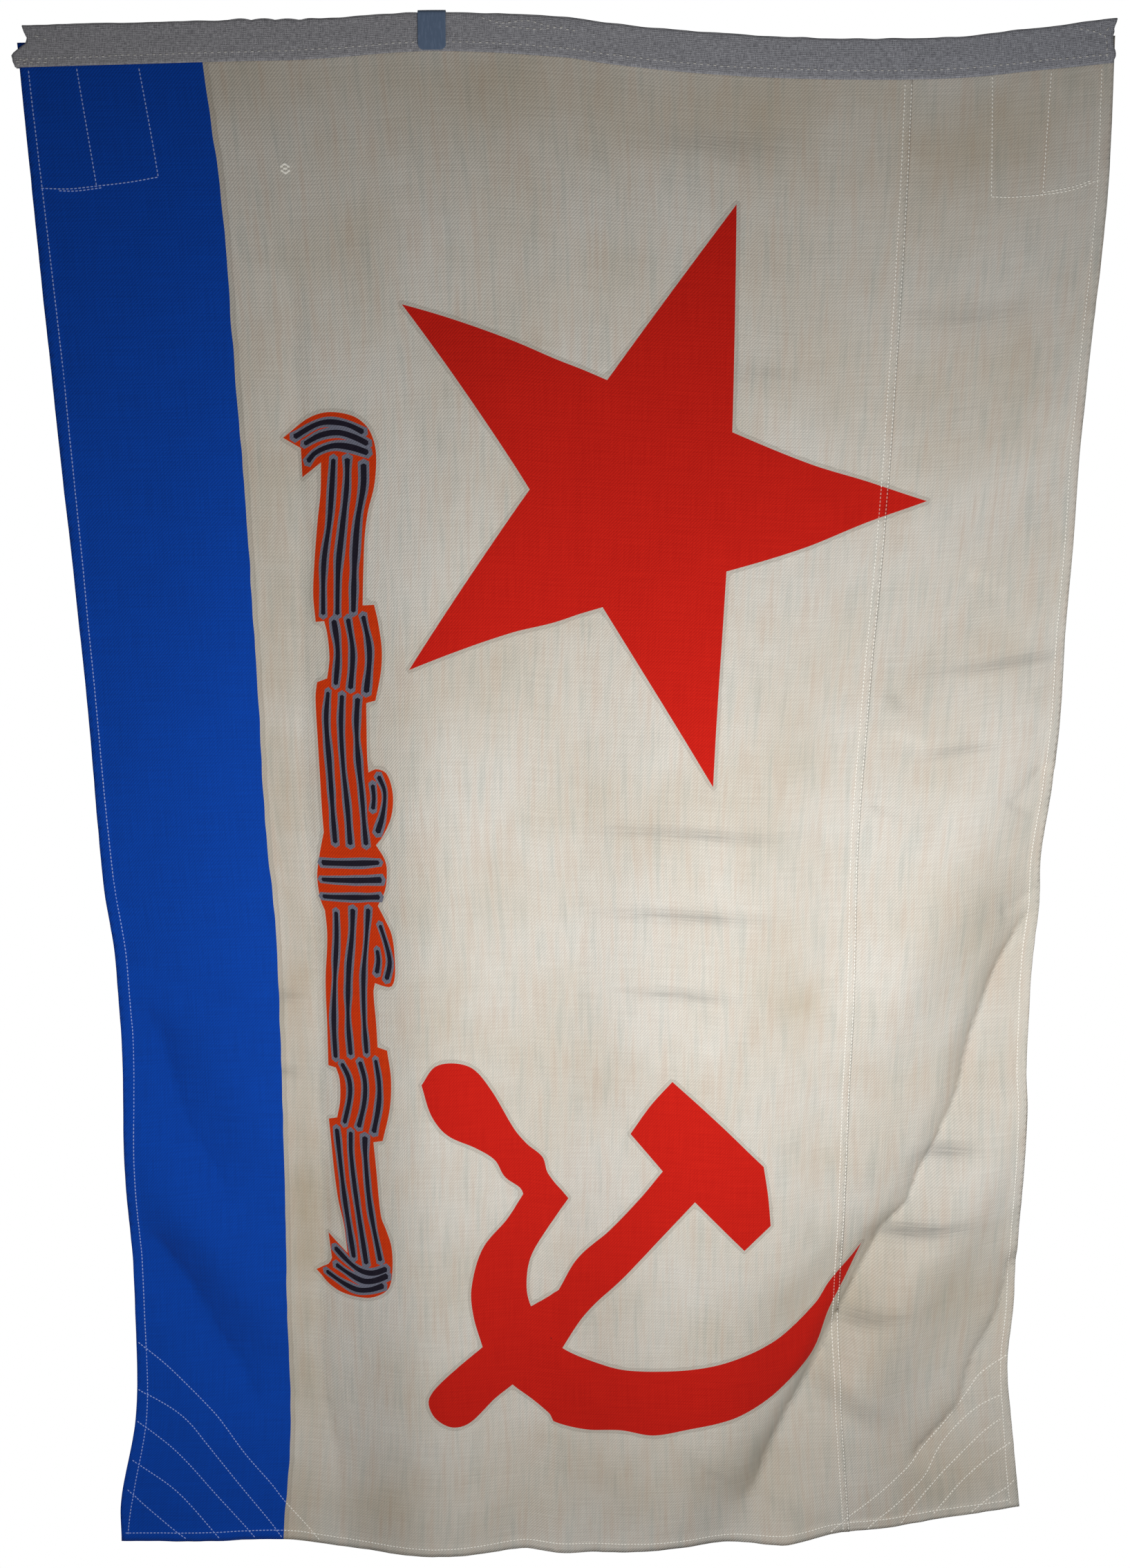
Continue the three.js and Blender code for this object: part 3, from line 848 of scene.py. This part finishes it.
def back_face(flat):
    """How far behind the wide cloth's middle its hindmost layer lies."""
    depth = np.where(flat[:, 0] > MAIN_WIDTH - LAP_HALF, SIDE_BEHIND + CLOTH_HALF, CLOTH_HALF)
    to_side = np.minimum(flat[:, 0], HOIST - flat[:, 0])
    oblong = (to_side > HEM_INSET) & (to_side < HEM_INSET + UPPER_PATCH_WIDTH)
    oblong &= (flat[:, 1] > UPPER_PATCH_TOP) & (flat[:, 1] < UPPER_PATCH_BOTTOM)
    leg = np.where(flat[:, 0] < HOIST / 2, LOWER_LEFT_LEG, LOWER_RIGHT_LEG)
    slant = (to_side > HEM_INSET) & (FLY - flat[:, 1] > HEM_INSET)
    slant &= to_side + FLY - flat[:, 1] < 2 * HEM_INSET + leg + LOWER_PATCH_TIP
    depth += np.where(oblong | slant, PATCH_BEHIND + PATCH_HALF - CLOTH_HALF, 0)
    return np.where(edge_distance(*flat.T) < HEM_WIDTH, np.maximum(depth, HEM_HALF), depth)


def sewn_rows(name, rows):
    """Rows of stitches through the cloth, on the front and on the back."""
    starts, ends = [], []
    for row in rows:
        line = smooth_run(row, STITCH_PITCH)
        starts.append(line[:-1])
        ends.append(line[:-1] + np.diff(line, axis=0) * STITCH_SHARE)
    starts, ends = np.concatenate(starts), np.concatenate(ends)
    middle = (starts + ends) / 2
    front = np.where(edge_distance(*middle.T) < HEM_WIDTH, HEM_HALF, CLOTH_HALF)
    front = np.where(middle[:, 0] > MAIN_WIDTH + LAP_HALF, front - SIDE_BEHIND, front)
    faces = [(-front, -1), (back_face(middle), 1)]
    red = inside(middle, figures[0][1]) | inside(middle, figures[1][1])
    slots = np.where(red, RED_THREAD, WHITE_THREAD)
    slots = np.where(middle[:, 0] < BLUE_STRIPE, BLUE_THREAD, slots)
    both_starts, both_ends, outward = [], [], []
    for depth, side in faces:
        shift = np.stack([0 * depth, depth + side * STITCH_LIFT, 0 * depth], axis=1) * MM
        both_starts.append(cloth_place(starts[:, 0], starts[:, 1]) + shift)
        both_ends.append(cloth_place(ends[:, 0], ends[:, 1]) + shift)
        outward.append(np.tile([0.0, side, 0.0], (len(starts), 1)))
    ends_of_stitches = (np.concatenate(both_starts), np.concatenate(both_ends))
    piece = stitch_mesh(name, *ends_of_stitches, np.concatenate(outward), np.tile(slots, 2), THREADS)
    return piece


def thread(name, colour, worn):
    """Cotton sewing thread: matt and fuzzy, a little darker where it has been rubbed."""
    material, tree = new_material(name)
    place = node(tree, "TexCoord").outputs["Object"]
    shade = blend(tree, mottle(tree, place, 120.0, 2.0), linear(colour), linear(worn))
    shader = node(tree, "BsdfPrincipled", {"Base Color": shade, "Roughness": 0.8,
                                           "Specular IOR Level": 0.2})
    node(tree, "OutputMaterial", {"Surface": shader.outputs[0]})
    return material


THREADS = [
    thread("bleached cotton thread", "#fffdf6", "#f3eee2"),
    thread("cotton thread stained blue", "#a9bdf0", "#86a0e4"),
    thread("cotton thread stained red", "#e9a79c", "#d9857a"),
]
seam_stitches = sewn_rows("seam_stitches", SEAM_ROWS)
hem_stitches = sewn_rows("hem_stitches", HEM_ROWS)
patch_stitches = sewn_rows("patch_stitches", UPPER_LEFT_ROWS + UPPER_RIGHT_ROWS + LOWER_LEFT_ROWS
                           + LOWER_RIGHT_ROWS + DARN_ROWS)

# The heading: a strip of grey canvas folded over the top edges of both cloths and sewn through with long
# stitches. Its raw ends are notched and frayed, and it puckers where the cloth pulls on it.
CANVAS_HALF = 0.6
HEADING_FRONT = -1.5
HEADING_BACK = 3.3
left_end = through([(0, 6), (13, 10), (24, -4), (HEADING_DEPTH, 0)])
right_end = through([(0, 1001), (17, 998), (30, 1001), (HEADING_DEPTH, 999)])
heading_drop = through([(0, 35), (190, 34), (395, 32), (560, 34), (770, 34), (900, 35), (HOIST, 37)])
HEADING_CROWN = 0.4
HEADING_COLUMNS = 330
LEG_ROWS = 14
BEND_ROWS = 6
GATHER_PITCH = 22
GATHER_HEIGHT = 1.5
GATHER_START = (190, 215)
GATHER_END = (265, 285)
FRAY = (1.0, 2.0, 9.5)
FRAY_REACH = 3
SEWN_WRINKLE = (0.45, 11, 12.5)
SEWN_DROP = 29
SEWN_REACH = 9
SLACK = (0.5, 34, 14.5)
FLAT_EDGE_DROP = 34
FLAT_EDGE_SHARE = 0.4
TOP_BUMPS = [(0.7, 17, 16.5), (0.5, 45, 18.5)]
TOP_BUMP_REACH = 6
HEADING_PUCKERS = [
    (1.0, 3.5, [(786, 4), (806, 34)]), (-0.9, 4, [(800, 3), (820, 34)]), (1.1, 3.5, [(826, 3), (812, 22)]),
    (1.2, 3.5, [(846, 2), (836, 28)]), (0.8, 4, [(930, 2), (926, 20)]),
]


def folded_over(front, back, around):
    """The section of a strip folded over an edge: around runs from -1 to 0 up the front, to 1 over the edge
    and to 2 down the back."""
    bend = np.clip(around, 0, 1) * math.pi
    radius = (back - front) / 2
    leg = np.maximum(np.maximum(-around, around - 1), 0)
    return (front + back) / 2 - radius * np.cos(bend), radius * np.sin(bend), leg, -np.cos(bend)


around_rows = np.concatenate([np.linspace(-1, 0, LEG_ROWS + 1), np.linspace(0, 1, BEND_ROWS + 1)[1:],
                              np.linspace(1, 2, LEG_ROWS + 1)[1:]])


def heading_place(share, around, raised=0.0):
    """Where points of the heading hang, with their flat places; raised lifts them off its face."""
    depth, rise, leg, side = folded_over(HEADING_FRONT, HEADING_BACK, around)
    drop = leg * heading_drop(share * HOIST)
    across = left_end(drop) + (right_end(drop) - left_end(drop)) * share
    to_end = np.minimum(share, 1 - share) * HOIST
    across = across + rough(drop, 0 * drop, FRAY) * np.exp(-to_end / FRAY_REACH)
    lift = rough(across, drop, SEWN_WRINKLE) * np.exp(-((drop - SEWN_DROP) / SEWN_REACH) ** 2)
    lift = lift + rough(across, 2 * drop, SLACK)
    for deep, width, line in HEADING_PUCKERS:
        distance, _ = along(across, drop, line)
        lift = lift - deep * np.exp(-np.abs(distance) / width)
    lift = np.where(drop < FLAT_EDGE_DROP, lift, lift * FLAT_EDGE_SHARE)
    top = hang(across, 0 * across)
    gathered = smoothstep(*GATHER_START, across) * (1 - smoothstep(*GATHER_END, across))
    bumps = GATHER_HEIGHT * gathered * np.abs(np.sin(across * math.pi / GATHER_PITCH))
    bumps += sum(rough(across, 0 * across, form) for form in TOP_BUMPS)
    up = HEADING_CROWN * rise - drop + bumps * np.exp(-drop / TOP_BUMP_REACH)
    places = top + np.stack([0 * up, depth + side * (lift + raised), up], axis=1)
    bend_length = math.pi * (HEADING_BACK - HEADING_FRONT) / 2
    wrap = np.where(around < 0, -drop, np.where(around < 1, around * bend_length, bend_length + drop))
    return places * MM, np.stack([across, -wrap], axis=1)


share = np.tile(np.linspace(0, 1, HEADING_COLUMNS + 1), len(around_rows))
around = np.repeat(around_rows, HEADING_COLUMNS + 1)
places, flat = heading_place(share, around)

CANVAS_PITCH = 1.6
HEATHER_WIDTH = 0.7
HEATHER_LENGTH = 5
COOLER_ACROSS = (300.0, 900.0)


def canvas(name, dark, light, cool):
    """Heathered cotton canvas: a plain weave of mixed grey yarns, matt and dry, speckled light and dark.
    The weave is drawn coarser than its real 0.8 mm, so that it shows."""
    material, tree = new_material(name)
    flat = node(tree, "Attribute", attribute_name="flat").outputs["Vector"]
    specks = [mottle(tree, flat, (1 / HEATHER_LENGTH, 1 / HEATHER_WIDTH, 1), 3.0),
              mottle(tree, flat, (1 / HEATHER_WIDTH, 1 / HEATHER_LENGTH, 1), 3.0)]
    yarn = remap(tree, reckon(tree, "ADD", *specks), 0.72, 1.28)
    mixed = blend(tree, yarn, linear(dark), linear(light))
    place = node(tree, "SeparateXYZ", {0: flat})
    far = remap(tree, place.outputs["X"], *COOLER_ACROSS)
    tint = blend(tree, far, mixed, linear(cool), blend_type="MULTIPLY")
    waves = []
    for direction in ("X", "Y"):
        waves.append(node(tree, "TexWave", {"Vector": flat, "Scale": math.pi / 10 / CANVAS_PITCH},
                          bands_direction=direction).outputs["Fac"])
    height = reckon(tree, "ADD", reckon(tree, "MULTIPLY", *waves), yarn)
    bump = node(tree, "Bump", {"Height": height, "Strength": 0.8, "Distance": 0.0004})
    shader = node(tree, "BsdfPrincipled", {"Base Color": tint, "Roughness": 0.95,
                                           "Specular IOR Level": 0.1, "Normal": bump.outputs[0]})
    node(tree, "OutputMaterial", {"Surface": shader.outputs[0]})
    return material


heather = canvas("heathered grey canvas", "#7b7a7f", "#bebdc1", "#f8fbff")
triangles = grid_triangles(HEADING_COLUMNS, len(around_rows) - 1)
heading = closed_sheet("heading_strip", flat, triangles, places, CANVAS_HALF, np.zeros(len(triangles), int),
                       [heather])
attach(heading, "root")
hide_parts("heading")

# Long stitches along the heading, through to its back, and mending stitches on its front: the lines are
# (across, drop from the top edge)
HEADING_PITCH = 6
HEADING_SHARE = 0.6
HEADING_ROW_WAVER = (0.7, 9, 21.5)
HEADING_STITCH_LIFT = CANVAS_HALF + 0.15
LONG_ROW = [(6, 28), (190, 26), (395, 24), (560, 26), (770, 26), (900, 27), (996, 29)]
MENDING_ROWS = [
    [(2, 33), (16, 31), (34, 32)], [(2, 30), (16, 28.5)], [(8, 8), (22, 13)],
    [(422, 3), (440, 7), (462, 4), (484, 8), (509, 10)], [(436, 9), (470, 11), (498, 7)],
    [(966, 4), (978, 7), (991, 13)], [(994, 6), (991, 13), (995, 20), (991, 27), (994, 34)],
]
starts, ends, outward = [], [], []
for row, side in [(LONG_ROW, -1), (LONG_ROW, 1)] + [(row, -1) for row in MENDING_ROWS]:
    line = smooth_run(row, HEADING_PITCH)
    line[:, 1] += rough(line[:, 0], line[:, 1], HEADING_ROW_WAVER)
    for points, part in ((starts, 0), (ends, HEADING_SHARE)):
        across, drop = (line[:-1] + np.diff(line, axis=0) * part).T
        leg = drop / heading_drop(across)
        around = -leg if side < 0 else 1 + leg
        points.append(heading_place(across / HOIST, around, HEADING_STITCH_LIFT)[0])
    outward.append(np.tile([0.0, side, 0.0], (len(line) - 1, 1)))
starts, ends, outward = np.concatenate(starts), np.concatenate(ends), np.concatenate(outward)
greyed = thread("cotton thread greyed by dirt", "#dcdad6", "#b9b7b4")
heading_stitches = stitch_mesh("heading_stitches", starts, ends, outward, np.zeros(len(starts)), [greyed])

# The clip: a moulded plastic clip pushed down over the heading, with rounded lower corners. It has no marks
# but scuffs from use.
CLIP_MIDDLE = 382
CLIP_WIDTH = 25
CLIP_DEPTH = 31
CLIP_WALL = 1.6
CLIP_CORNER = 5
CLIP_OFFSET = 1.7
CLIP_CROWN = 0.6
CLIP_BEND_LENGTH = 10
CLIP_COLUMNS = 16
CLIP_LEG_ROWS = 24
CLIP_BEND_ROWS = 12
up_the_leg = np.sin(np.linspace(-math.pi / 2, 0, CLIP_LEG_ROWS + 1))
over_the_top = np.linspace(0, 1, CLIP_BEND_ROWS + 1)[1:]
around_clip = np.concatenate([up_the_leg, over_the_top, 1 - up_the_leg[-2::-1]])
around = np.repeat(around_clip, CLIP_COLUMNS + 1)
share = np.tile(np.linspace(-1, 1, CLIP_COLUMNS + 1), len(around_clip))
depth, rise, leg, side = folded_over(HEADING_FRONT - CLIP_OFFSET, HEADING_BACK + CLIP_OFFSET, around)
past = np.maximum(leg * CLIP_DEPTH - (CLIP_DEPTH - CLIP_CORNER), 0)
inset = CLIP_CORNER - np.sqrt(np.maximum(CLIP_CORNER ** 2 - past ** 2, 0))
across = CLIP_MIDDLE + share * (CLIP_WIDTH / 2 - inset)
up = CLIP_CROWN * rise - leg * CLIP_DEPTH
places = hang(across, 0 * across) + np.stack([0 * depth, depth, up], axis=1)
wrap = np.where(around < 0, around * CLIP_DEPTH, around * CLIP_BEND_LENGTH)


def moulded_plastic(name, colour, scuffed):
    """Moulded polypropylene: smooth and half matt, with fine scuffs that catch the light."""
    material, tree = new_material(name)
    place = node(tree, "TexCoord").outputs["Object"]
    scuff = mottle(tree, place, (900, 900, 160), 3.0)
    shade = blend(tree, remap(tree, scuff, 0.5, 0.8), linear(colour), linear(scuffed))
    gloss = remap(tree, scuff, 0.0, 1.0, 0.36, 0.6)
    bump = node(tree, "Bump", {"Height": scuff, "Strength": 0.2, "Distance": 0.0002})
    shader = node(tree, "BsdfPrincipled", {"Base Color": shade, "Roughness": gloss, "IOR": 1.49,
                                           "Normal": bump.outputs[0]})
    node(tree, "OutputMaterial", {"Surface": shader.outputs[0]})
    return material


triangles = grid_triangles(CLIP_COLUMNS, len(around_clip) - 1)
slate = moulded_plastic("slate blue plastic", "#61748f", "#7486a2")
clip = closed_sheet("hanging_clip", np.stack([across, -wrap], axis=1), triangles, places * MM, CLIP_WALL / 2,
                    np.zeros(len(triangles), int), [slate])
soft_edges = clip.modifiers.new("soft edges", "BEVEL")
soft_edges.width = 0.5 * MM
soft_edges.segments = 2
soft_edges.limit_method = "ANGLE"
soft_edges.angle_limit = math.radians(40)
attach(clip, "root")
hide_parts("clip")

# The stage: a plain pale floor well below the hem, a soft lamp close in front, a weak one to the left
# and a dim white room
FLOOR_DROP = 2.35
FLOOR_RADIUS = 1.15
bpy.ops.mesh.primitive_circle_add(vertices=96, radius=FLOOR_RADIUS, fill_type="NGON",
                                  location=(0, 0, -FLOOR_DROP))
floor = bpy.context.object
floor.name = "floor"
paint = bpy.data.materials.new("pale floor paint")
paint.use_nodes = True
paint.node_tree.nodes["Principled BSDF"].inputs["Base Color"].default_value = linear("#e4e2de")
paint.node_tree.nodes["Principled BSDF"].inputs["Roughness"].default_value = 0.8
floor.data.materials.append(paint)

# Lamps as (name, place in metres, width, watts)
LAMPS = [("soft lamp", (0.21, -0.86, -0.83), 0.25, 8.4), ("fill lamp", (-0.75, -1.0, -1.15), 0.5, 2.2)]
for name, place, size, power in LAMPS:
    lamp = bpy.data.lights.new(name, "AREA")
    lamp.shape = "DISK"
    lamp.size = size
    lamp.energy = power
    stand = bpy.data.objects.new(name, lamp)
    stand.location = place
    stand.rotation_euler = (math.radians(90), 0, 0)
    stand.visible_camera = False
    bpy.context.collection.objects.link(stand)

ROOM_LIGHT = 0.13
world = bpy.data.worlds.new("white room")
world.use_nodes = True
bpy.context.scene.world = world
room = world.node_tree
room.nodes.clear()
path = node(room, "LightPath")
glow = node(room, "MapRange", {"Value": path.outputs["Is Camera Ray"], "To Min": ROOM_LIGHT, "To Max": 1.0})
backdrop = node(room, "Background", {"Color": (1, 1, 1, 1), "Strength": glow.outputs[0]})
node(room, "OutputWorld", {"Surface": backdrop.outputs[0]})
bpy.context.scene.view_settings.view_transform = "Standard"

# The camera: at eye level in front, looking a little down
CAMERA_DISTANCE = 1.9
CAMERA_TILT = math.radians(10)
CAMERA_AIM = -0.694
PHOTO_HEIGHT = 2268
FOCAL_PIXELS = 2883
SENSOR = 36
camera = bpy.data.cameras.new("camera")
camera.sensor_width = SENSOR
camera.lens = SENSOR * FOCAL_PIXELS / PHOTO_HEIGHT
viewer = bpy.data.objects.new("camera", camera)
viewer.location = (0, -CAMERA_DISTANCE * math.cos(CAMERA_TILT),
                   CAMERA_AIM + CAMERA_DISTANCE * math.sin(CAMERA_TILT))
viewer.rotation_euler = (math.pi / 2 - CAMERA_TILT, 0, 0)
bpy.context.collection.objects.link(viewer)
bpy.context.scene.camera = viewer
